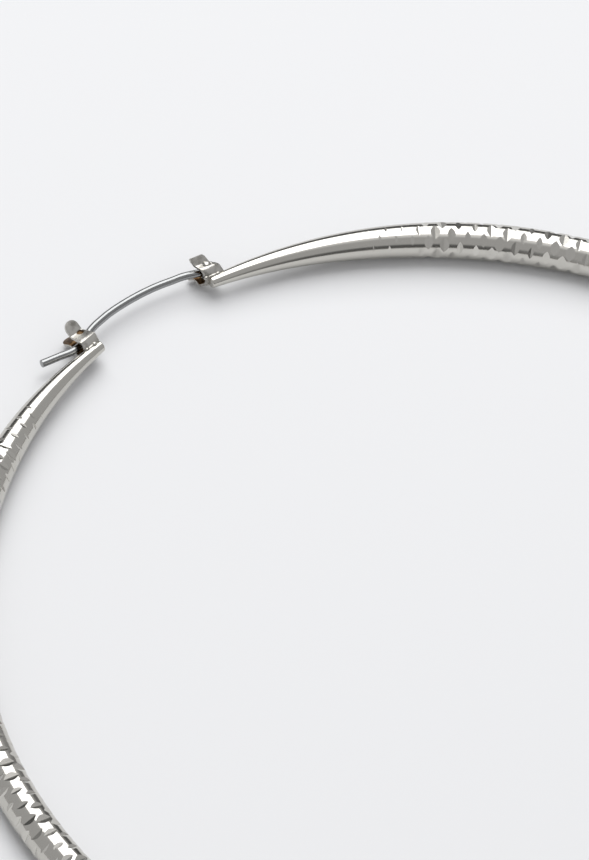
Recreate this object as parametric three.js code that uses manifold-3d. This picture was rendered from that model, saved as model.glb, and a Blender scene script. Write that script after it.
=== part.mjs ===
import * as THREE from 'three';
import { mergeVertices } from 'three/addons/utils/BufferGeometryUtils.js';
import Module from 'manifold-3d';

const wasm = await Module();
wasm.setup();

// Hoop tube, lengths in millimetres
const ringRadius = 50;
const tubeRadius = 1.9;
const tipRadius = 0.58;
const taperLength = 32;
const gapWidth = 14.1;

// Diamond cuts, made by a turning V tool: three notches to a ring, turned on from ring to ring
const cutAngle = THREE.MathUtils.degToRad(140);
const cutDepth = 0.19;
const cutDepthSwing = 0.06;
const cutSwingLength = 6.4;
const cutPitch = 0.95;
const cutTurn = THREE.MathUtils.degToRad(37);
const cutsPerRing = 3;
const plainEndLength = 11;
const cutFadeLength = 14;
const plainRingPitch = 2.2;
const plainRingSides = 4 * cutsPerRing;

// Ear wire
const wireRadius = 0.4;
const wireBow = 0.95;
const wireTailLength = 4.9;
const wireTailRise = 1.3;
const eyeRadius = 0.6;

// Sheet clips at both tube tips, with their distances from the middle of the tube
const sheetThickness = 0.25;
const clipWidth = 2.0;
const lipWidth = 1.6;
const foldInside = 0.75;
const foldOutside = foldInside + sheetThickness;
const backRise = 1.25;
const pivotRise = 1.5;
const jointDip = THREE.MathUtils.degToRad(22);
const jointCheekLength = 0.45;
const jointLipLength = 0.95;
const jointLean = 0.36;
const catchRise = 1.5;
const catchDip = THREE.MathUtils.degToRad(14);
const catchCheekLength = 1.05;
const catchLipLength = 1.35;
const catchHoleRise = 2.15;
const catchHoleAside = 0.35;
const catchHoleRadius = 0.36;
const lipFlare = THREE.MathUtils.degToRad(35);
const jointSetback = 0.35;
const catchSetback = 1.0;

// Rivet of the hinge
const rivetRadius = 0.26;
const rivetClearance = 0.07;
const rivetHeadRadius = 0.42;
const rivetHeadHeight = 0.18;
const rivetHeadGap = 0.03;

const halfGap = Math.asin(gapWidth / 2 / ringRadius);
const tubeLength = (2 * Math.PI - 2 * halfGap) * ringRadius;
const jointAngle = Math.PI / 2 - halfGap - jointSetback / ringRadius;
const catchAngle = Math.PI / 2 + halfGap + catchSetback / ringRadius;

function solidFrom(geometry) {
  const bare = geometry.index ? geometry.toNonIndexed() : geometry.clone();
  bare.deleteAttribute('normal');
  bare.deleteAttribute('uv');
  const merged = mergeVertices(bare, 1e-5);
  return new wasm.Manifold(new wasm.Mesh({
    numProp: 3,
    vertProperties: new Float32Array(merged.attributes.position.array),
    triVerts: new Uint32Array(merged.index.array),
  }));
}

function meshFrom(name, solid, material) {
  const { vertProperties, triVerts } = solid.getMesh();
  const geometry = new THREE.BufferGeometry();
  geometry.setAttribute('position', new THREE.BufferAttribute(vertProperties, 3));
  geometry.setIndex(new THREE.BufferAttribute(triVerts, 1));
  geometry.computeVertexNormals();
  const mesh = new THREE.Mesh(geometry, material);
  mesh.name = name;
  return mesh;
}

// Radius of the tube at a distance along it from the joint's tip, the same from either tip
function radiusAt(along) {
  const fromTip = Math.min(along, tubeLength - along);
  const share = THREE.MathUtils.clamp(fromTip / taperLength, 0, 1);
  return tipRadius + (tubeRadius - tipRadius) * Math.sin(share * Math.PI / 2);
}

// Depth of the notches there, which swells and shrinks along the tube and fades out towards the plain ends
function depthAt(along) {
  const fromTip = Math.min(along, tubeLength - along);
  const fade = THREE.MathUtils.clamp((fromTip - plainEndLength) / cutFadeLength, 0.15, 1);
  const swing = Math.sin(2 * Math.PI * along / cutSwingLength);
  return (cutDepth + cutDepthSwing * swing) * fade * radiusAt(along) / tubeRadius;
}

// Point on the tube's surface: along it, and turned round it from the outside of the hoop towards the top
function surfacePoint(along, turn) {
  const angle = Math.PI / 2 - halfGap - along / ringRadius;
  const radius = ringRadius + radiusAt(along) * Math.cos(turn);
  return new THREE.Vector3(
    radius * Math.cos(angle),
    radius * Math.sin(angle),
    tubeRadius + radiusAt(along) * Math.sin(turn),
  );
}

// Notches of one ring: two tips where the crease runs out round the tube, and one corner on each side of it
function notchesOf(step) {
  const along = plainEndLength + step * cutPitch;
  const depth = depthAt(along);
  const halfSpan = Math.acos(1 - depth / radiusAt(along));
  const halfWidth = depth * Math.tan(cutAngle / 2);
  return Array.from({ length: cutsPerRing }, (_, cut) => {
    const turn = step * cutTurn + cut * 2 * Math.PI / cutsPerRing;
    return {
      tips: [{ along, turn: turn - halfSpan }, { along, turn: turn + halfSpan }],
      before: { along: along - halfWidth, turn },
      after: { along: along + halfWidth, turn },
    };
  });
}

function plainRing(along) {
  return Array.from({ length: plainRingSides }, (_, side) => (
    { along, turn: side * 2 * Math.PI / plainRingSides }
  ));
}

// One ring of corners for each step: its own tips, and the side corners of the notches next to it
function cutRings(steps) {
  const rings = [];
  for (let step = 0; step < steps; step += 1) {
    const own = notchesOf(step).flatMap((notch) => notch.tips);
    const last = notchesOf(step - 1).map((notch) => notch.after);
    const next = notchesOf(step + 1).map((notch) => notch.before);
    rings.push([...own, ...last, ...next]);
  }
  return rings;
}

function sortedRing(corners) {
  const fullTurn = 2 * Math.PI;
  const wrapped = corners.map(({ along, turn }) => (
    { along, turn: THREE.MathUtils.euclideanModulo(turn, fullTurn) }
  ));
  return wrapped.sort((a, b) => a.turn - b.turn);
}

// Joins two rings with triangles, going round and taking the shorter new edge each time
function zipRings(lower, upper, addTriangle) {
  const fullTurn = 2 * Math.PI;
  const cornerAt = (ring, index) => {
    const laps = Math.floor(index / ring.length);
    const corner = ring[index - laps * ring.length];
    return { along: corner.along, turn: corner.turn + laps * fullTurn };
  };
  const distance = (a, b) => Math.hypot(a.along - b.along, tubeRadius * (a.turn - b.turn));
  const candidates = [...Array(upper.length).keys()];
  const startUpper = candidates.reduce((best, index) => (
    distance(lower[0], upper[index]) < distance(lower[0], upper[best]) ? index : best
  ), 0);
  let i = 0;
  let j = startUpper;
  while (i < lower.length || j < startUpper + upper.length) {
    const a = cornerAt(lower, i);
    const b = cornerAt(upper, j);
    const nextA = cornerAt(lower, i + 1);
    const nextB = cornerAt(upper, j + 1);
    const lowerDone = i >= lower.length;
    const upperDone = j >= startUpper + upper.length;
    if (!lowerDone && (upperDone || distance(nextA, b) < distance(a, nextB))) {
      addTriangle(a, nextA, b);
      i += 1;
    } else {
      addTriangle(a, nextB, b);
      j += 1;
    }
  }
}

function makeTube() {
  const steps = Math.floor((tubeLength - 2 * plainEndLength) / cutPitch);
  const lastCut = plainEndLength + (steps - 1) * cutPitch;
  const endRings = Math.round(plainEndLength / plainRingPitch);
  const rings = [];
  for (let ring = 0; ring < endRings; ring += 1) {
    rings.push(plainRing(ring * plainEndLength / endRings));
  }
  rings.push(...cutRings(steps));
  for (let ring = 1; ring <= endRings; ring += 1) {
    rings.push(plainRing(lastCut + ring * (tubeLength - lastCut) / endRings));
  }
  const positions = [];
  const addPoints = (...points) => points.forEach((point) => positions.push(...point.toArray()));
  const sorted = rings.map(sortedRing);
  for (let ring = 1; ring < sorted.length; ring += 1) {
    zipRings(sorted[ring - 1], sorted[ring], (...corners) => {
      addPoints(...corners.map(({ along, turn }) => surfacePoint(along, turn)));
    });
  }
  const closeTip = (ring, reversed) => {
    const points = ring.map(({ along, turn }) => surfacePoint(along, turn));
    for (let corner = 2; corner < points.length; corner += 1) {
      const fan = [points[0], points[corner], points[corner - 1]];
      addPoints(...(reversed ? fan.reverse() : fan));
    }
  };
  closeTip(sorted[0], false);
  closeTip(sorted[sorted.length - 1], true);
  const geometry = new THREE.BufferGeometry();
  geometry.setAttribute('position', new THREE.Float32BufferAttribute(positions, 3));
  return solidFrom(geometry);
}

// Side view of a folded clip: half of its outline, from the end of the lip to the round back
function sheetLine(dip, cheekLength, lipLength) {
  const cheekNormal = new THREE.Vector2(Math.sin(dip), Math.cos(dip));
  const lipNormal = new THREE.Vector2(-Math.sin(lipFlare), Math.cos(lipFlare));
  const backEnd = cheekNormal.clone().multiplyScalar(foldInside);
  const bend = backEnd.clone().add(new THREE.Vector2(Math.cos(dip), -Math.sin(dip)).multiplyScalar(cheekLength));
  const end = bend.clone().add(new THREE.Vector2(Math.cos(lipFlare), Math.sin(lipFlare)).multiplyScalar(lipLength));
  const mitre = cheekNormal.clone().add(lipNormal);
  mitre.multiplyScalar(sheetThickness / (1 + cheekNormal.dot(lipNormal)));
  return {
    inside: [end, bend, backEnd],
    outside: [
      end.clone().addScaledVector(lipNormal, sheetThickness),
      bend.clone().add(mitre),
      cheekNormal.clone().multiplyScalar(foldOutside),
    ],
  };
}

function foldedSheet(line, dip) {
  const mirrored = (point) => new THREE.Vector2(point.x, -point.y);
  const shape = new THREE.Shape();
  shape.moveTo(line.inside[0].x, line.inside[0].y);
  line.outside.forEach((point) => shape.lineTo(point.x, point.y));
  shape.absarc(0, 0, foldOutside, Math.PI / 2 - dip, 3 * Math.PI / 2 + dip, false);
  [...line.outside].reverse().slice(1).map(mirrored).forEach((point) => shape.lineTo(point.x, point.y));
  line.inside.map(mirrored).forEach((point) => shape.lineTo(point.x, point.y));
  shape.absarc(0, 0, foldInside, 3 * Math.PI / 2 + dip, Math.PI / 2 - dip, true);
  shape.lineTo(line.inside[1].x, line.inside[1].y);
  shape.closePath();
  const sheet = new THREE.ExtrudeGeometry(shape, { depth: clipWidth, bevelEnabled: false, curveSegments: 10 });
  const alongTube = new THREE.Vector3(1, 0, 0);
  const outwards = new THREE.Vector3(0, 1, 0);
  const upwards = new THREE.Vector3(0, 0, 1);
  sheet.translate(0, 0, -clipWidth / 2);
  sheet.applyMatrix4(new THREE.Matrix4().makeBasis(outwards, upwards, alongTube));
  return solidFrom(sheet);
}

// Outline of the clip from above: it narrows from the back to the lips, whose ends are round
function clipOutline(line) {
  const half = lipWidth / 2;
  const [end, bend] = line.inside;
  const shape = new THREE.Shape();
  shape.moveTo(-clipWidth, -2 * foldOutside);
  shape.lineTo(clipWidth, -2 * foldOutside);
  shape.lineTo(clipWidth / 2 + 0.01, 0);
  shape.lineTo(half, bend.x);
  shape.lineTo(half, end.x - half);
  shape.absarc(0, end.x - half, half, 0, Math.PI, false);
  shape.lineTo(-half, bend.x);
  shape.lineTo(-clipWidth / 2 - 0.01, 0);
  shape.closePath();
  const outline = new THREE.ExtrudeGeometry(shape, { depth: 6 * foldOutside, bevelEnabled: false, curveSegments: 8 });
  outline.translate(0, 0, -3 * foldOutside);
  return solidFrom(outline);
}

function holeDrill(radius, aside, rise) {
  const drill = new THREE.CylinderGeometry(radius, radius, 4 * foldOutside, 16);
  drill.rotateX(Math.PI / 2);
  drill.translate(aside, rise, 0);
  return solidFrom(drill);
}

// Clip folded from one sheet: a round back on the tube's outside, two cheeks that come closer together and
// two lips that flare apart again, in a frame whose x runs along the tube, y out from its middle and z up.
// A lean sets the lips off to one side.
function makeClip(dip, cheekLength, lipLength, lean) {
  const line = sheetLine(dip, cheekLength, lipLength);
  const leaning = [1, 0, 0, 0, -lean, 1, 0, 0, 0, 0, 1, 0, 0, 0, 0, 1];
  return foldedSheet(line, dip)
    .intersect(clipOutline(line))
    .transform(leaning)
    .translate([0, backRise, 0]);
}

function placeAtTube(solid, angle) {
  const degrees = THREE.MathUtils.radToDeg(angle) - 90;
  return solid
    .translate([0, ringRadius, 0])
    .rotate([0, 0, degrees])
    .translate([0, 0, tubeRadius]);
}

function pointOutside(angle, rise) {
  const radius = ringRadius + rise;
  return new THREE.Vector3(radius * Math.cos(angle), radius * Math.sin(angle), tubeRadius);
}

// Ear wire: an eye round the rivet, a bow across the gap, and a tail past the catch
function makeEarWire() {
  const span = catchAngle - jointAngle;
  const pivot = pointOutside(jointAngle, pivotRise);
  const tailAngle = catchAngle + wireTailLength / ringRadius;
  const shank = [
    pointOutside(jointAngle + span * 0.15, pivotRise + wireBow * 0.42),
    pointOutside(jointAngle + span * 0.5, pivotRise + wireBow * 0.96),
    pointOutside(jointAngle + span * 0.75, pivotRise + wireBow),
    pointOutside(catchAngle, catchRise),
    pointOutside(tailAngle, catchRise + wireTailRise),
  ];
  const towards = shank[0].clone().sub(pivot).setLength((eyeRadius + rivetRadius) / 2);
  const path = new THREE.CatmullRomCurve3([pivot.clone().add(towards), ...shank], false, 'centripetal');
  const section = new THREE.Shape().absarc(0, 0, wireRadius, 0, 2 * Math.PI, false);
  const wire = new THREE.ExtrudeGeometry(section, {
    steps: 32, extrudePath: path, curveSegments: 10, bevelEnabled: false,
  });
  const bore = rivetRadius + rivetClearance;
  const eyeOutline = new THREE.Shape().absarc(0, 0, eyeRadius, 0, 2 * Math.PI, false);
  const eye = new THREE.ExtrudeGeometry(eyeOutline, {
    depth: 2 * wireRadius, bevelEnabled: false, curveSegments: 20,
  });
  eye.translate(pivot.x, pivot.y, pivot.z - wireRadius);
  const drill = new THREE.CylinderGeometry(bore, bore, 4 * wireRadius, 16);
  drill.rotateX(Math.PI / 2);
  drill.translate(...pivot.toArray());
  return solidFrom(wire).add(solidFrom(eye)).subtract(solidFrom(drill));
}

// Rivet through both cheeks and the eye of the wire, with a domed head on each side
function makeRivet() {
  const seat = foldOutside + rivetHeadGap;
  const top = seat + rivetHeadHeight;
  const profile = [
    new THREE.Vector2(0, -top),
    new THREE.Vector2(rivetHeadRadius * 0.6, -top + rivetHeadHeight * 0.25),
    new THREE.Vector2(rivetHeadRadius, -seat),
    new THREE.Vector2(rivetRadius, -seat),
    new THREE.Vector2(rivetRadius, seat),
    new THREE.Vector2(rivetHeadRadius, seat),
    new THREE.Vector2(rivetHeadRadius * 0.6, top - rivetHeadHeight * 0.25),
    new THREE.Vector2(0, top),
  ];
  const rivet = new THREE.LatheGeometry(profile, 16);
  rivet.rotateX(Math.PI / 2);
  rivet.translate(...pointOutside(jointAngle, pivotRise).toArray());
  return solidFrom(rivet);
}

const polished = new THREE.MeshStandardMaterial({ color: 0xc9ccd0, roughness: 0.12, metalness: 1 });
const findings = new THREE.MeshStandardMaterial({ color: 0xb9b6b0, roughness: 0.2, metalness: 1 });
const steel = new THREE.MeshStandardMaterial({ color: 0x9aa1a8, roughness: 0.22, metalness: 1 });

const jointClip = makeClip(jointDip, jointCheekLength, jointLipLength, jointLean)
  .subtract(holeDrill(rivetRadius + rivetClearance, 0, pivotRise));
const catchClip = makeClip(catchDip, catchCheekLength, catchLipLength, 0)
  .subtract(holeDrill(catchHoleRadius, catchHoleAside, catchHoleRise));
const hoopSolid = makeTube()
  .add(placeAtTube(jointClip, jointAngle))
  .add(placeAtTube(catchClip, catchAngle));

const earring = new THREE.Group();
earring.add(meshFrom('hoop', hoopSolid, polished));
earring.add(meshFrom('ear_wire', makeEarWire(), steel));
earring.add(meshFrom('hinge_rivet', makeRivet(), findings));

// The origin is the middle of what the earring covers, on the surface that it lies on
const bounds = new THREE.Box3().setFromObject(earring);
const middle = bounds.getCenter(new THREE.Vector3());
earring.position.set(-middle.x, -middle.y, -bounds.min.z);

export default earring;
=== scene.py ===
import math

import bpy
from mathutils import Matrix, Vector


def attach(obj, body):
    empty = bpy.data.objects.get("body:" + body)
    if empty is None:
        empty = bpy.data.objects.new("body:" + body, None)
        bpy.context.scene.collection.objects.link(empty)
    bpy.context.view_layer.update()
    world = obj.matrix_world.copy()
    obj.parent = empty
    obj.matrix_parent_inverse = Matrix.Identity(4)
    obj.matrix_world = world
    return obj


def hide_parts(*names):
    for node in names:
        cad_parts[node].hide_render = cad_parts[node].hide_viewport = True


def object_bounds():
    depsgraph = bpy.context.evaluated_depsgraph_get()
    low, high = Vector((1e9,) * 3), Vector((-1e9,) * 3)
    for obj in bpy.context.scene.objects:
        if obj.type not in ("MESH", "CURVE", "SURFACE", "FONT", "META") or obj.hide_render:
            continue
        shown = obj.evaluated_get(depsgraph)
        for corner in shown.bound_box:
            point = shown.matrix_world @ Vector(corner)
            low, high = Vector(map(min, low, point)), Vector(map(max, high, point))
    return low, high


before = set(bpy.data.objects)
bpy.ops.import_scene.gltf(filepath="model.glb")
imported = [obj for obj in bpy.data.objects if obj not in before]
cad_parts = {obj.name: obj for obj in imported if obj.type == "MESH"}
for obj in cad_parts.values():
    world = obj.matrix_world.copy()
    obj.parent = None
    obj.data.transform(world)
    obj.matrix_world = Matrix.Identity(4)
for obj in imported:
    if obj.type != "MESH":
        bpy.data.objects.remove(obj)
cad_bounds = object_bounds()
bpy.ops.object.select_all(action="DESELECT")

# The hoop is one round tube of pale polished metal, bent into an open ring that lies flat.
# It narrows along a soft curve towards both tips, where it is closed with a small flat end.
ring_radius = 0.050
tube_radius = 0.0019
hoop_middle = Vector((0.0, cad_bounds[0][1] + ring_radius + tube_radius, tube_radius))
tip_radius = 0.00058
taper_length = 0.032
gap_width = 0.0141
tube_sides = 72
tube_steps = 640
tip_edge_width = 0.00013
half_gap = math.asin(gap_width / 2 / ring_radius)
joint_tip_bearing = math.pi / 2 - half_gap
tube_length = (2 * math.pi - 2 * half_gap) * ring_radius


def tube_radius_at(along):
    share = min(1.0, max(0.0, min(along, tube_length - along) / taper_length))
    return tip_radius + (tube_radius - tip_radius) * math.sin(share * math.pi / 2)


def place_on_ring(along):
    bearing = joint_tip_bearing - along / ring_radius
    outwards = Vector((math.cos(bearing), math.sin(bearing), 0.0))
    return hoop_middle + ring_radius * outwards, outwards


tip_middle = place_on_ring(0.0)[0]
bpy.ops.mesh.primitive_circle_add(
    vertices=tube_sides,
    radius=tube_radius,
    fill_type="NOTHING",
    location=tip_middle,
    rotation=(math.pi / 2, 0.0, joint_tip_bearing),
)
hoop_tube = bpy.context.object
hoop_tube.name = "hoop_tube"
bpy.ops.object.transform_apply()
bpy.ops.object.mode_set(mode="EDIT")
bpy.ops.mesh.select_all(action="SELECT")
bpy.ops.mesh.spin(
    steps=tube_steps,
    angle=2 * math.pi - 2 * half_gap,
    center=hoop_middle,
    axis=(0.0, 0.0, 1.0),
)
bpy.ops.mesh.select_all(action="SELECT")
bpy.ops.mesh.fill_holes(sides=0)
bpy.ops.object.mode_set(mode="OBJECT")
for vertex in hoop_tube.data.vertices:
    offset = vertex.co - hoop_middle
    turned = joint_tip_bearing - math.atan2(offset.y, offset.x)
    along = ((turned + 0.01) % (2 * math.pi) - 0.01) * ring_radius
    middle, outwards = place_on_ring(along)
    vertex.co = middle + (vertex.co - middle) * tube_radius_at(along) / tube_radius
bpy.ops.object.mode_set(mode="EDIT")
bpy.ops.mesh.select_all(action="SELECT")
bpy.ops.mesh.normals_make_consistent(inside=False)
bpy.ops.mesh.select_all(action="DESELECT")
bpy.ops.mesh.edges_select_sharp(sharpness=math.radians(60))
bpy.ops.mesh.bevel(offset=tip_edge_width, segments=3)
bpy.ops.object.mode_set(mode="OBJECT")

# Polished metal, pale and a little warm. Drawing and tumbling leave fine lines and faint
# cloudy patches in the gloss, which are just enough to soften the edges of the reflections.
hoop_metal = bpy.data.materials.new("polished_pale_metal")
hoop_metal.use_nodes = True
nodes = hoop_metal.node_tree.nodes
links = hoop_metal.node_tree.links
shader = nodes["Principled BSDF"]
shader.inputs["Metallic"].default_value = 1.0
shader.inputs["Base Color"].default_value = (0.575, 0.56, 0.52, 1.0)
place = nodes.new("ShaderNodeTexCoord")
clouds = nodes.new("ShaderNodeTexNoise")
clouds.inputs["Scale"].default_value = 900.0
clouds.inputs["Detail"].default_value = 3.0
links.new(place.outputs["Object"], clouds.inputs["Vector"])
gloss = nodes.new("ShaderNodeMapRange")
gloss.inputs["To Min"].default_value = 0.10
gloss.inputs["To Max"].default_value = 0.19
links.new(clouds.outputs["Fac"], gloss.inputs["Value"])
links.new(gloss.outputs["Result"], shader.inputs["Roughness"])
hoop_tube.data.materials.append(hoop_metal)

# Diamond cuts: a turning V tool cuts short bright notches into the tube, in rows that wind round
# it. Each notch has two flat facets. They get shallower and stop on the way to the plain tips.
cut_pitch = 0.000184
cut_turn = math.radians(80.9)
first_cut_along = 0.0122
first_cut_turn = math.radians(45.8)
cut_depth = 0.000146
cut_depth_swing = 0.000045
swing_length = 0.0066
swing_peak_along = 0.0305
cut_slope = math.tan(math.radians(70.0))
cut_overlap = 0.00002
cut_end_room = 1.08
least_cut_depth = 0.000006
plain_length_at_joint = 0.0160
plain_length_at_catch = 0.0085
fade_length = 0.0075
cuts_in_row_step = 9
cuts_in_pass = 4
cut_passes = 3

facet_metal = bpy.data.materials.new("diamond_cut_facets")
facet_metal.use_nodes = True
nodes = facet_metal.node_tree.nodes
links = facet_metal.node_tree.links
shader = nodes["Principled BSDF"]
shader.inputs["Metallic"].default_value = 1.0
shader.inputs["Base Color"].default_value = (0.61, 0.595, 0.555, 1.0)
place = nodes.new("ShaderNodeTexCoord")
tool_lines = nodes.new("ShaderNodeTexNoise")
tool_lines.inputs["Scale"].default_value = 6000.0
tool_lines.inputs["Detail"].default_value = 2.0
links.new(place.outputs["Object"], tool_lines.inputs["Vector"])
gloss = nodes.new("ShaderNodeMapRange")
gloss.inputs["To Min"].default_value = 0.12
gloss.inputs["To Max"].default_value = 0.26
links.new(tool_lines.outputs["Fac"], gloss.inputs["Value"])
links.new(gloss.outputs["Result"], shader.inputs["Roughness"])

bpy.ops.mesh.primitive_cylinder_add(vertices=3, radius=1.0, depth=2.0, location=(0.0, 0.0, 0.0))
v_tool = bpy.context.object
v_tool.name = "v_tool"
v_tool.data.materials.append(facet_metal)
bpy.ops.object.mode_set(mode="EDIT")
bpy.ops.mesh.select_all(action="SELECT")
bpy.ops.transform.resize(
    value=(cut_slope / math.cos(math.radians(30.0)), 1 / 1.5, 1.0),
    center_override=(0.0, 0.0, 0.0),
)
bpy.ops.transform.translate(value=(0.0, -1 / 1.5, 0.0))
bpy.ops.object.mode_set(mode="OBJECT")


def cut_depth_at(along):
    from_start = min(along - plain_length_at_joint, tube_length - plain_length_at_catch - along)
    fade = min(1.0, max(0.0, from_start / fade_length))
    swing = math.cos(2 * math.pi * (along - swing_peak_along) / swing_length)
    return (cut_depth + cut_depth_swing * swing) * fade * tube_radius_at(along) / tube_radius


def place_v_tool(tool, along, turn):
    depth = cut_depth_at(along)
    radius = tube_radius_at(along)
    middle, outwards = place_on_ring(along)
    up = Vector((0.0, 0.0, 1.0))
    facing = outwards * math.cos(turn) + up * math.sin(turn)
    crease = up * math.cos(turn) - outwards * math.sin(turn)
    forwards = -facing.cross(crease)
    half_length = cut_end_room * math.sqrt(radius ** 2 - (radius - depth) ** 2)
    bite = depth + cut_overlap
    tool.matrix_world = Matrix.Translation(middle + facing * (radius - depth)) @ Matrix((
        forwards * bite,
        -facing * bite,
        crease * half_length,
    )).transposed().to_4x4()


cut_count = int((tube_length - first_cut_along) / cut_pitch)
for cut_pass in range(cut_passes):
    bpy.ops.object.select_all(action="DESELECT")
    for cut in range(cut_count):
        along = first_cut_along + cut * cut_pitch
        if cut % cuts_in_row_step // cuts_in_pass != cut_pass or cut_depth_at(along) < least_cut_depth:
            continue
        tool = v_tool.copy()
        tool.data = v_tool.data.copy()
        bpy.context.collection.objects.link(tool)
        place_v_tool(tool, along, first_cut_turn + cut * cut_turn)
        tool.select_set(True)
        bpy.context.view_layer.objects.active = tool
    bpy.ops.object.join()
    row_of_tools = bpy.context.object
    bpy.context.view_layer.objects.active = hoop_tube
    cutting = hoop_tube.modifiers.new("cutting", "BOOLEAN")
    cutting.operation = "DIFFERENCE"
    cutting.solver = "MANIFOLD"
    cutting.object = row_of_tools
    bpy.ops.object.modifier_apply(modifier="cutting")
    bpy.data.objects.remove(row_of_tools)
bpy.data.objects.remove(v_tool)
bpy.ops.object.select_all(action="DESELECT")
hoop_tube.select_set(True)
bpy.ops.object.shade_smooth_by_angle(angle=math.radians(12.0))
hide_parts("hoop")
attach(hoop_tube, "hoop")

# Two folded sheet clips are soldered to the outside of the tips, open away from the hoop: one holds
# the hinge of the ear wire, and the wire snaps into the other. Each is one strip, punched flat, then
# folded to a ridge above and below. Its ends stand off as lips, round or cut straight.
sheet_thickness = 0.00025
clip_width = 0.0020
lip_width = 0.0016
back_rise = 0.000375
back_length = 0.00025
shoulder_bend_length = 0.00035
shoulder_slope = math.radians(50.0)
shoulder_length = 0.00060
ridge_bend_length = 0.00025
ridge_rise = 0.00110
lip_bend_length = 0.00030
fold_step = 0.00005
clip_edge_width = 0.00004
joint_setback = 0.00035
joint_bearing = joint_tip_bearing - joint_setback / ring_radius
joint_pivot_rise = 0.0015
joint_dip = math.radians(14.0)
joint_cheek_length = 0.00060
joint_lip_length = 0.00080
joint_lip_flare = math.radians(42.0)
joint_end_cut = 0.00035
joint_lean = 0.50
joint_hole_radius = 0.00033
joint_hole_depth = 0.00050
catch_setback = 0.0010
catch_bearing = math.pi / 2 + half_gap + catch_setback / ring_radius
catch_dip = math.radians(20.0)
catch_cheek_length = 0.00130
catch_lip_length = 0.00132
catch_lip_flare = math.radians(35.0)
catch_hole_aside = 0.00030
catch_hole_rise = 0.00222
catch_hole_radius = 0.00038
catch_hole_depth = 0.00020
punch_length = 4 * sheet_thickness

clip_metal = bpy.data.materials.new("clip_sheet_metal")
clip_metal.use_nodes = True
nodes = clip_metal.node_tree.nodes
links = clip_metal.node_tree.links
shader = nodes["Principled BSDF"]
shader.inputs["Metallic"].default_value = 1.0
place = nodes.new("ShaderNodeTexCoord")
stains = nodes.new("ShaderNodeTexNoise")
stains.inputs["Scale"].default_value = 1100.0
stains.inputs["Detail"].default_value = 4.0
links.new(place.outputs["Object"], stains.inputs["Vector"])
tone = nodes.new("ShaderNodeValToRGB")
tone.color_ramp.elements[0].position = 0.35
tone.color_ramp.elements[0].color = (0.33, 0.318, 0.29, 1.0)
tone.color_ramp.elements[1].position = 0.6
tone.color_ramp.elements[1].color = (0.58, 0.565, 0.53, 1.0)
links.new(stains.outputs["Fac"], tone.inputs["Fac"])
links.new(tone.outputs["Color"], shader.inputs["Base Color"])
gloss = nodes.new("ShaderNodeMapRange")
gloss.inputs["To Min"].default_value = 0.16
gloss.inputs["To Max"].default_value = 0.40
links.new(stains.outputs["Fac"], gloss.inputs["Value"])
links.new(gloss.outputs["Result"], shader.inputs["Roughness"])
grain = nodes.new("ShaderNodeTexNoise")
grain.inputs["Scale"].default_value = 4500.0
grain.inputs["Detail"].default_value = 3.0
links.new(place.outputs["Object"], grain.inputs["Vector"])
pits = nodes.new("ShaderNodeBump")
pits.inputs["Strength"].default_value = 0.6
pits.inputs["Distance"].default_value = 0.00003
links.new(grain.outputs["Fac"], pits.inputs["Height"])
links.new(pits.outputs["Normal"], shader.inputs["Normal"])

# Inside the fold the plating is thin and the sheet has stayed brown from soldering. The colour is also
# made much darker than that brown, as painted shade for the shaded inside of the fold and the floor of
# the pressed dimple.
fold_metal = bpy.data.materials.new("brown_and_painted_shade_inside_fold")
fold_metal.use_nodes = True
nodes = fold_metal.node_tree.nodes
links = fold_metal.node_tree.links
shader = nodes["Principled BSDF"]
shader.inputs["Metallic"].default_value = 1.0
place = nodes.new("ShaderNodeTexCoord")
scale_and_shade_patches = nodes.new("ShaderNodeTexNoise")
scale_and_shade_patches.inputs["Scale"].default_value = 1500.0
scale_and_shade_patches.inputs["Detail"].default_value = 4.0
links.new(place.outputs["Object"], scale_and_shade_patches.inputs["Vector"])
# The dark end of this ramp and the dark patches it makes are painted shade; the lighter end is the
# brown of the sheet
tone = nodes.new("ShaderNodeValToRGB")
tone.color_ramp.elements[0].position = 0.35
tone.color_ramp.elements[0].color = (0.06, 0.028, 0.010, 1.0)
tone.color_ramp.elements[1].position = 0.7
tone.color_ramp.elements[1].color = (0.26, 0.17, 0.09, 1.0)
links.new(scale_and_shade_patches.outputs["Fac"], tone.inputs["Fac"])
links.new(tone.outputs["Color"], shader.inputs["Base Color"])
shader.inputs["Roughness"].default_value = 0.42


def fold_line_at(distance, bends):
    across, height, heading = back_rise, 0.0, math.pi / 2
    for length, turn in bends:
        share = min(1.0, distance / length)
        turned = turn * share
        if turn:
            across += length / turn * (math.sin(heading + turned) - math.sin(heading))
            height -= length / turn * (math.cos(heading + turned) - math.cos(heading))
        else:
            across += length * share * math.cos(heading)
            height += length * share * math.sin(heading)
        heading += turned
        distance -= length
        if distance <= 0.0:
            break
    return across, height, heading


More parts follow.
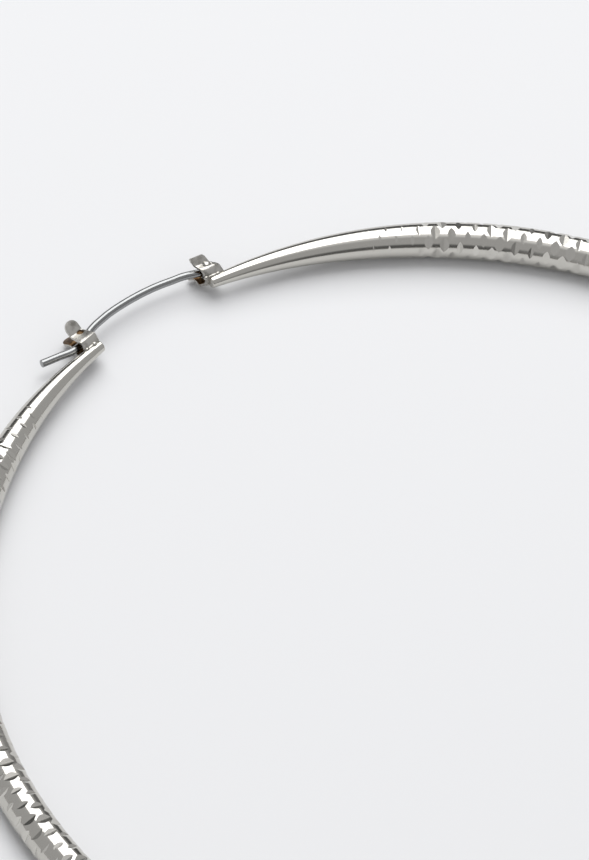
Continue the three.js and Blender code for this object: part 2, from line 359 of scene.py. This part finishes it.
def make_clip(name, bearing, dip, cheek_length, lip_flare, lip_length, end_cut, lean, hole, beads):
    hole_aside, hole_rise, hole_radius, hole_depth = hole
    bends = [
        (back_length, 0.0),
        (shoulder_bend_length, shoulder_slope - math.pi / 2),
        (shoulder_length, 0.0),
        (ridge_bend_length, -shoulder_slope - dip),
        (cheek_length, 0.0),
        (lip_bend_length, dip + lip_flare),
        (lip_length, 0.0),
    ]
    ridge_end = sum(length for length, turn in bends[:4])
    ridge_end_rise = fold_line_at(ridge_end, bends)[0]
    lip_rise = fold_line_at(ridge_end + cheek_length, bends)[0]
    hole_distance = ridge_end + (hole_rise - ridge_end_rise) / math.cos(dip)
    strip_half = sum(length for length, turn in bends)
    punch_middle = (sheet_thickness + punch_length) / 2 - hole_depth
    bpy.ops.mesh.primitive_circle_add(
        vertices=64,
        radius=lip_width / 2,
        fill_type="NGON",
        location=(0.0, 0.0, -sheet_thickness / 2),
    )
    clip = bpy.context.object
    clip.name = name
    bpy.ops.object.transform_apply()
    for vertex in clip.data.vertices:
        if abs(vertex.co.y) > 0.000001:
            reach = abs(vertex.co.y) + strip_half + end_cut - lip_width / 2
            vertex.co.y = math.copysign(min(reach, strip_half), vertex.co.y)
    bpy.ops.object.mode_set(mode="EDIT")
    bpy.ops.mesh.select_all(action="SELECT")
    bpy.ops.mesh.extrude_region_move(
        TRANSFORM_OT_translate={"value": (0.0, 0.0, sheet_thickness)},
    )
    bpy.ops.mesh.select_all(action="SELECT")
    bpy.ops.mesh.normals_make_consistent(inside=False)
    bpy.ops.object.mode_set(mode="OBJECT")
    clip.data.materials.append(clip_metal)
    clip.data.materials.append(fold_metal)
    for side in (1, -1):
        bpy.ops.mesh.primitive_cylinder_add(
            vertices=40,
            radius=hole_radius,
            depth=punch_length,
            location=(hole_aside, side * hole_distance, punch_middle),
        )
        punch = bpy.context.object
        bpy.context.view_layer.objects.active = clip
        punching = clip.modifiers.new("punching", "BOOLEAN")
        punching.operation = "DIFFERENCE"
        punching.solver = "EXACT"
        punching.object = punch
        bpy.ops.object.modifier_apply(modifier="punching")
        bpy.data.objects.remove(punch)
    soft_edges = clip.modifiers.new("soft_edges", "BEVEL")
    soft_edges.width = clip_edge_width
    soft_edges.segments = 2
    soft_edges.limit_method = "ANGLE"
    soft_edges.angle_limit = math.radians(60.0)
    bpy.ops.object.modifier_apply(modifier="soft_edges")
    # Faces inside the fold and the floor of the blind dimple get the dark brown fold metal, which is
    # partly painted shade
    for face in clip.data.polygons:
        in_hole = face.normal.z > 0.9 and face.center.z < sheet_thickness / 4
        face.material_index = 1 if face.normal.z < -0.9 or in_hole else 0
    bpy.ops.object.mode_set(mode="EDIT")
    for fold in range(-int(strip_half / fold_step), int(strip_half / fold_step) + 1):
        bpy.ops.mesh.select_all(action="SELECT")
        bpy.ops.mesh.bisect(plane_co=(0.0, fold * fold_step, 0.0), plane_no=(0.0, 1.0, 0.0))
    bpy.ops.object.mode_set(mode="OBJECT")
    for vertex in clip.data.vertices:
        across, height, heading = fold_line_at(abs(vertex.co.y), bends)
        side = math.copysign(1.0, vertex.co.y)
        across -= vertex.co.z * math.sin(heading)
        height += vertex.co.z * math.cos(heading)
        share = min(1.0, max(0.0, (across - ridge_rise) / (lip_rise - ridge_rise)))
        vertex.co.x *= 1.0 + (clip_width / lip_width - 1.0) * (1.0 - share)
        vertex.co.x -= lean * (across - ridge_rise)
        vertex.co.y = across
        vertex.co.z = side * height

    # Solder runs into the corner between the fold and the tube and stands there in round beads
    solder = [clip]
    for bead_x, bead_y, bead_z, bead_radius, bead_stretch in beads:
        bpy.ops.mesh.primitive_uv_sphere_add(
            segments=24,
            ring_count=12,
            radius=bead_radius,
            location=(bead_x, bead_y, bead_z),
            scale=(bead_stretch, 1.0, 0.9),
        )
        bead = bpy.context.object
        bpy.ops.object.transform_apply()
        bead.data.materials.append(clip_metal)
        solder.append(bead)
    bpy.ops.object.select_all(action="DESELECT")
    for piece in solder:
        piece.select_set(True)
    bpy.context.view_layer.objects.active = clip
    bpy.ops.object.join()
    outwards = Vector((math.cos(bearing), math.sin(bearing), 0.0))
    clip.location = hoop_middle + ring_radius * outwards
    clip.rotation_euler.z = bearing - math.pi / 2
    bpy.ops.object.transform_apply()
    bpy.ops.object.mode_set(mode="EDIT")
    bpy.ops.mesh.select_all(action="SELECT")
    bpy.ops.mesh.normals_make_consistent(inside=False)
    bpy.ops.object.mode_set(mode="OBJECT")
    bpy.ops.object.shade_smooth_by_angle(angle=math.radians(35.0))
    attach(clip, "hoop")


joint_solder = [
    (0.00010, 0.00034, 0.00056, 0.00018, 4.0),
    (-0.00070, 0.00032, 0.00060, 0.00023, 1.3),
    (0.00066, 0.00034, 0.00058, 0.00020, 1.5),
    (0.00010, 0.00034, -0.00056, 0.00018, 4.2),
]
catch_solder = [
    (0.00000, 0.00034, 0.00056, 0.00018, 4.4),
    (0.00030, 0.00030, 0.00064, 0.00023, 1.3),
    (-0.00076, 0.00034, 0.00062, 0.00022, 1.2),
    (-0.00010, 0.00034, -0.00056, 0.00018, 4.4),
]
joint_hole_aside = joint_lean * (joint_pivot_rise - ridge_rise)
joint_hole = (joint_hole_aside, joint_pivot_rise, joint_hole_radius, joint_hole_depth)
catch_hole = (catch_hole_aside, catch_hole_rise, catch_hole_radius, catch_hole_depth)
make_clip(
    "joint_clip", joint_bearing, joint_dip, joint_cheek_length, joint_lip_flare,
    joint_lip_length, joint_end_cut, joint_lean, joint_hole, joint_solder,
)
make_clip(
    "catch_clip", catch_bearing, catch_dip, catch_cheek_length, catch_lip_flare,
    catch_lip_length, 0.0, 0.0, catch_hole, catch_solder,
)

# The hinge rivet goes through both cheeks of the joint clip and the eye of the ear wire.
# It is a short steel pin whose two ends are struck into low domed heads.
rivet_radius = 0.00026
rivet_head_radius = 0.00038
rivet_head_height = 0.00018
rivet_seat = 0.00117
joint_outwards = Vector((math.cos(joint_bearing), math.sin(joint_bearing), 0.0))
pivot = hoop_middle + (ring_radius + joint_pivot_rise) * joint_outwards
bpy.ops.mesh.primitive_cylinder_add(
    vertices=32,
    radius=rivet_radius,
    depth=2 * rivet_seat,
    location=pivot,
)
hinge_rivet = bpy.context.object
hinge_rivet.name = "hinge_rivet_fine"
bpy.ops.object.transform_apply()
rivet_pieces = [hinge_rivet]
for side in (1, -1):
    head_seat = pivot + Vector((0.0, 0.0, side * rivet_seat))
    bpy.ops.mesh.primitive_uv_sphere_add(
        segments=40,
        ring_count=20,
        radius=rivet_head_radius,
        location=head_seat,
        scale=(1.0, 1.0, rivet_head_height / rivet_head_radius),
    )
    head = bpy.context.object
    bpy.ops.object.transform_apply()
    bpy.ops.object.mode_set(mode="EDIT")
    bpy.ops.mesh.select_all(action="SELECT")
    bpy.ops.mesh.bisect(
        plane_co=head_seat,
        plane_no=(0.0, 0.0, side),
        use_fill=True,
        clear_inner=True,
    )
    bpy.ops.mesh.select_all(action="SELECT")
    bpy.ops.mesh.normals_make_consistent(inside=False)
    bpy.ops.object.mode_set(mode="OBJECT")
    rivet_pieces.append(head)
bpy.ops.object.select_all(action="DESELECT")
for piece in rivet_pieces:
    piece.select_set(True)
bpy.context.view_layer.objects.active = hinge_rivet
bpy.ops.object.join()
bpy.ops.object.shade_smooth_by_angle(angle=math.radians(40.0))
rivet_metal = bpy.data.materials.new("rivet_steel")
rivet_metal.use_nodes = True
nodes = rivet_metal.node_tree.nodes
links = rivet_metal.node_tree.links
shader = nodes["Principled BSDF"]
shader.inputs["Metallic"].default_value = 1.0
shader.inputs["Base Color"].default_value = (0.45, 0.44, 0.41, 1.0)
place = nodes.new("ShaderNodeTexCoord")
strike_marks = nodes.new("ShaderNodeTexNoise")
strike_marks.inputs["Scale"].default_value = 2500.0
strike_marks.inputs["Detail"].default_value = 3.0
links.new(place.outputs["Object"], strike_marks.inputs["Vector"])
dents = nodes.new("ShaderNodeBump")
dents.inputs["Strength"].default_value = 0.25
dents.inputs["Distance"].default_value = 0.00003
links.new(strike_marks.outputs["Fac"], dents.inputs["Height"])
links.new(dents.outputs["Normal"], shader.inputs["Normal"])
shader.inputs["Roughness"].default_value = 0.18
hinge_rivet.data.materials.clear()
hinge_rivet.data.materials.append(rivet_metal)
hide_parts("hinge_rivet")
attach(hinge_rivet, "hoop")

# The ear wire is hard drawn wire, cut square at its free end and flattened into an eye round the
# rivet. It bows over the gap, snaps between the cheeks of the catch and runs on as a short tail.
wire_radius = 0.0004
eye_radius = 0.00060
eye_hole_radius = 0.00033
wire_end_edge = 0.00007
eye_edge_width = 0.00009
wire_start = 0.00043
wire_route = [
    (0.00520, 0.05176),
    (0.00406, 0.05196),
    (0.00270, 0.05221),
    (0.00120, 0.05238),
    (-0.00043, 0.05246),
    (-0.00200, 0.05244),
    (-0.00330, 0.05236),
    (-0.00448, 0.05220),
    (-0.00670, 0.05166),
    (-0.00829, 0.05086),
    (-0.00950, 0.05060),
    (-0.01150, 0.05087),
    (-0.01333, 0.05113),
]
bpy.ops.curve.primitive_bezier_curve_add(location=(0.0, 0.0, 0.0))
ear_wire = bpy.context.object
ear_wire.name = "ear_wire_fine"
wire_line = ear_wire.data.splines[0]
wire_line.bezier_points.add(len(wire_route) + 1 - len(wire_line.bezier_points))
towards_route = hoop_middle + Vector((wire_route[0][0], wire_route[0][1], 0.0)) - pivot
wire_line.bezier_points[0].co = pivot + towards_route.normalized() * wire_start
for point, (route_x, route_y) in zip(wire_line.bezier_points[1:], wire_route):
    point.co = hoop_middle + Vector((route_x, route_y, 0.0))
for point in wire_line.bezier_points:
    point.handle_left_type = "AUTO"
    point.handle_right_type = "AUTO"
wire_line.bezier_points[0].handle_right_type = "VECTOR"
wire_line.bezier_points[-1].handle_left_type = "VECTOR"
ear_wire.data.dimensions = "3D"
ear_wire.data.resolution_u = 8
ear_wire.data.bevel_depth = wire_radius
ear_wire.data.bevel_resolution = 6
ear_wire.data.use_fill_caps = True
bpy.ops.object.convert(target="MESH")
bpy.ops.object.mode_set(mode="EDIT")
bpy.ops.mesh.select_all(action="SELECT")
bpy.ops.mesh.remove_doubles(threshold=0.000001)
bpy.ops.mesh.normals_make_consistent(inside=False)
bpy.ops.object.mode_set(mode="OBJECT")
soft_end = ear_wire.modifiers.new("soft_end", "BEVEL")
soft_end.width = wire_end_edge
soft_end.segments = 3
soft_end.limit_method = "ANGLE"
soft_end.angle_limit = math.radians(60.0)
bpy.ops.object.modifier_apply(modifier="soft_end")

bpy.ops.mesh.primitive_cylinder_add(
    vertices=48,
    radius=eye_radius,
    depth=2 * wire_radius,
    end_fill_type="NGON",
    location=pivot,
)
eye = bpy.context.object
bpy.ops.object.transform_apply()
bpy.ops.object.mode_set(mode="EDIT")
bpy.ops.mesh.select_mode(type="FACE")
bpy.ops.mesh.select_all(action="DESELECT")
bpy.ops.object.mode_set(mode="OBJECT")
for face in eye.data.polygons:
    face.select = abs(face.normal.z) > 0.9
bpy.ops.object.mode_set(mode="EDIT")
bpy.ops.mesh.inset(thickness=eye_radius - eye_hole_radius)
bpy.ops.mesh.bridge_edge_loops()
bpy.ops.mesh.select_all(action="SELECT")
bpy.ops.mesh.normals_make_consistent(inside=False)
bpy.ops.mesh.select_mode(type="VERT")
bpy.ops.object.mode_set(mode="OBJECT")
soft_eye = eye.modifiers.new("soft_eye", "BEVEL")
soft_eye.width = eye_edge_width
soft_eye.segments = 3
soft_eye.limit_method = "ANGLE"
soft_eye.angle_limit = math.radians(50.0)
bpy.ops.object.modifier_apply(modifier="soft_eye")
bpy.ops.object.select_all(action="DESELECT")
eye.select_set(True)
ear_wire.select_set(True)
bpy.context.view_layer.objects.active = ear_wire
bpy.ops.object.join()
bpy.ops.object.shade_smooth_by_angle(angle=math.radians(35.0))
wire_metal = bpy.data.materials.new("drawn_steel_wire")
wire_metal.use_nodes = True
nodes = wire_metal.node_tree.nodes
links = wire_metal.node_tree.links
shader = nodes["Principled BSDF"]
shader.inputs["Metallic"].default_value = 1.0
shader.inputs["Base Color"].default_value = (0.30, 0.305, 0.305, 1.0)
place = nodes.new("ShaderNodeTexCoord")
stretch = nodes.new("ShaderNodeMapping")
stretch.inputs["Scale"].default_value = (350.0, 6000.0, 6000.0)
links.new(place.outputs["Object"], stretch.inputs["Vector"])
drawn_lines = nodes.new("ShaderNodeTexNoise")
drawn_lines.inputs["Scale"].default_value = 1.0
drawn_lines.inputs["Detail"].default_value = 3.0
links.new(stretch.outputs["Vector"], drawn_lines.inputs["Vector"])
gloss = nodes.new("ShaderNodeMapRange")
gloss.inputs["To Min"].default_value = 0.10
gloss.inputs["To Max"].default_value = 0.24
links.new(drawn_lines.outputs["Fac"], gloss.inputs["Value"])
links.new(gloss.outputs["Result"], shader.inputs["Roughness"])
ridges = nodes.new("ShaderNodeBump")
ridges.inputs["Strength"].default_value = 0.12
ridges.inputs["Distance"].default_value = 0.00001
links.new(drawn_lines.outputs["Fac"], ridges.inputs["Height"])
links.new(ridges.outputs["Normal"], shader.inputs["Normal"])
ear_wire.data.materials.clear()
ear_wire.data.materials.append(wire_metal)
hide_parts("ear_wire")
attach(ear_wire, "ear_wire")

# The earring lies on a sheet of plain off-white card on a studio table
bpy.ops.mesh.primitive_plane_add(size=1.6, location=(0.0, 0.25, 0.0))
card = bpy.context.object
card.name = "card_floor"
card_paper = bpy.data.materials.new("off_white_card")
card_paper.use_nodes = True
shader = card_paper.node_tree.nodes["Principled BSDF"]
shader.inputs["Base Color"].default_value = (0.82, 0.825, 0.835, 1.0)
shader.inputs["Roughness"].default_value = 0.85
card.data.materials.append(card_paper)

# One large softbox hangs over and behind the hoop, a little to the left. It gives the long cream
# band and the soft shadow towards the camera.
view_bearing = math.radians(43.66)
view_drop = math.radians(49.85)
view_roll = math.radians(8.11)
softbox_bearing = view_bearing + math.radians(14.0)
softbox_height = math.radians(58.0)
softbox_distance = 0.90
softbox_place = softbox_distance * Vector((
    math.cos(softbox_height) * math.cos(softbox_bearing),
    math.cos(softbox_height) * math.sin(softbox_bearing),
    math.sin(softbox_height),
))
light = bpy.data.lights.new("back_softbox", "AREA")
light.shape = "RECTANGLE"
light.size = 0.78
light.size_y = 1.00
light.energy = 6.45
softbox = bpy.data.objects.new("back_softbox", light)
softbox.location = softbox_place
softbox.rotation_euler = (-softbox_place).to_track_quat("-Z", "Y").to_euler()
bpy.context.collection.objects.link(softbox)

# The studio around it is light grey and brightest overhead, where the softbox lights the ceiling.
# Two low black flags stand about it, one behind the hoop to the left and one beside the camera.
studio = bpy.data.worlds.new("studio")
bpy.context.scene.world = studio
studio.use_nodes = True
nodes = studio.node_tree.nodes
links = studio.node_tree.links
direction = nodes.new("ShaderNodeTexCoord")
split = nodes.new("ShaderNodeSeparateXYZ")
links.new(direction.outputs["Generated"], split.inputs["Vector"])
ceiling = nodes.new("ShaderNodeMapRange")
ceiling.inputs["From Min"].default_value = 0.92
ceiling.inputs["From Max"].default_value = 1.0
ceiling.inputs["To Min"].default_value = 0.50
ceiling.inputs["To Max"].default_value = 1.05
links.new(split.outputs["Z"], ceiling.inputs["Value"])
flag_tops = nodes.new("ShaderNodeMapRange")
flag_tops.inputs["From Min"].default_value = 0.34
flag_tops.inputs["From Max"].default_value = 0.48
flag_tops.inputs["To Min"].default_value = 1.0
flag_tops.inputs["To Max"].default_value = 0.0
links.new(split.outputs["Z"], flag_tops.inputs["Value"])
brightness = ceiling.outputs["Result"]
for flag_bearing, flag_edge, flag_shade in ((18.0, 0.62, 0.80), (-157.0, 0.80, 0.76)):
    towards_flag = nodes.new("ShaderNodeVectorMath")
    towards_flag.operation = "DOT_PRODUCT"
    flag_direction = view_bearing + math.radians(flag_bearing)
    towards_flag.inputs[1].default_value = (math.cos(flag_direction), math.sin(flag_direction), 0.0)
    links.new(direction.outputs["Generated"], towards_flag.inputs[0])
    flag_side = nodes.new("ShaderNodeMapRange")
    flag_side.inputs["From Min"].default_value = flag_edge
    flag_side.inputs["From Max"].default_value = flag_edge + 0.15
    flag_side.inputs["To Max"].default_value = flag_shade
    links.new(towards_flag.outputs["Value"], flag_side.inputs["Value"])
    flag = nodes.new("ShaderNodeMath")
    flag.operation = "MULTIPLY"
    links.new(flag_side.outputs["Result"], flag.inputs[0])
    links.new(flag_tops.outputs["Result"], flag.inputs[1])
    light_left = nodes.new("ShaderNodeMath")
    light_left.operation = "SUBTRACT"
    light_left.inputs[0].default_value = 1.0
    links.new(flag.outputs["Value"], light_left.inputs[1])
    shaded = nodes.new("ShaderNodeMath")
    shaded.operation = "MULTIPLY"
    links.new(brightness, shaded.inputs[0])
    links.new(light_left.outputs["Value"], shaded.inputs[1])
    brightness = shaded.outputs["Value"]
links.new(brightness, nodes["Background"].inputs["Strength"])
nodes["Background"].inputs["Color"].default_value = (1.0, 1.0, 1.015, 1.0)

# The camera stands about 0.8 m away and looks down on the joint and the catch with a long lens,
# so that part of the hoop leaves the picture on the left and at the bottom
camera_distance = 0.7718
focal_pixels = 8000.0
picture_width = 589.0
picture_height = 860.0
hoop_middle_in_picture = (481.5, 631.3)
forwards = Vector((
    math.cos(view_bearing) * math.cos(view_drop),
    math.sin(view_bearing) * math.cos(view_drop),
    -math.sin(view_drop),
))
level_right = Vector((math.sin(view_bearing), -math.cos(view_bearing), 0.0))
level_up = level_right.cross(forwards)
camera_right = level_right * math.cos(view_roll) + level_up * math.sin(view_roll)
camera_up = level_up * math.cos(view_roll) - level_right * math.sin(view_roll)
offset_right = (hoop_middle_in_picture[0] - picture_width / 2) / focal_pixels * camera_distance
offset_down = (hoop_middle_in_picture[1] - picture_height / 2) / focal_pixels * camera_distance
camera_place = (
    hoop_middle
    - forwards * camera_distance
    - camera_right * offset_right
    + camera_up * offset_down
)
lens = bpy.data.cameras.new("photo_camera")
lens.sensor_width = 36.0
lens.sensor_fit = "AUTO"
lens.lens = focal_pixels * 36.0 / picture_height
lens.clip_start = 0.01
lens.clip_end = 20.0
photo_camera = bpy.data.objects.new("photo_camera", lens)
bpy.context.collection.objects.link(photo_camera)
photo_camera.matrix_world = Matrix.Translation(camera_place) @ Matrix((
    camera_right,
    camera_up,
    -forwards,
)).transposed().to_4x4()
bpy.context.scene.camera = photo_camera
bpy.context.scene.view_settings.view_transform = "Standard"
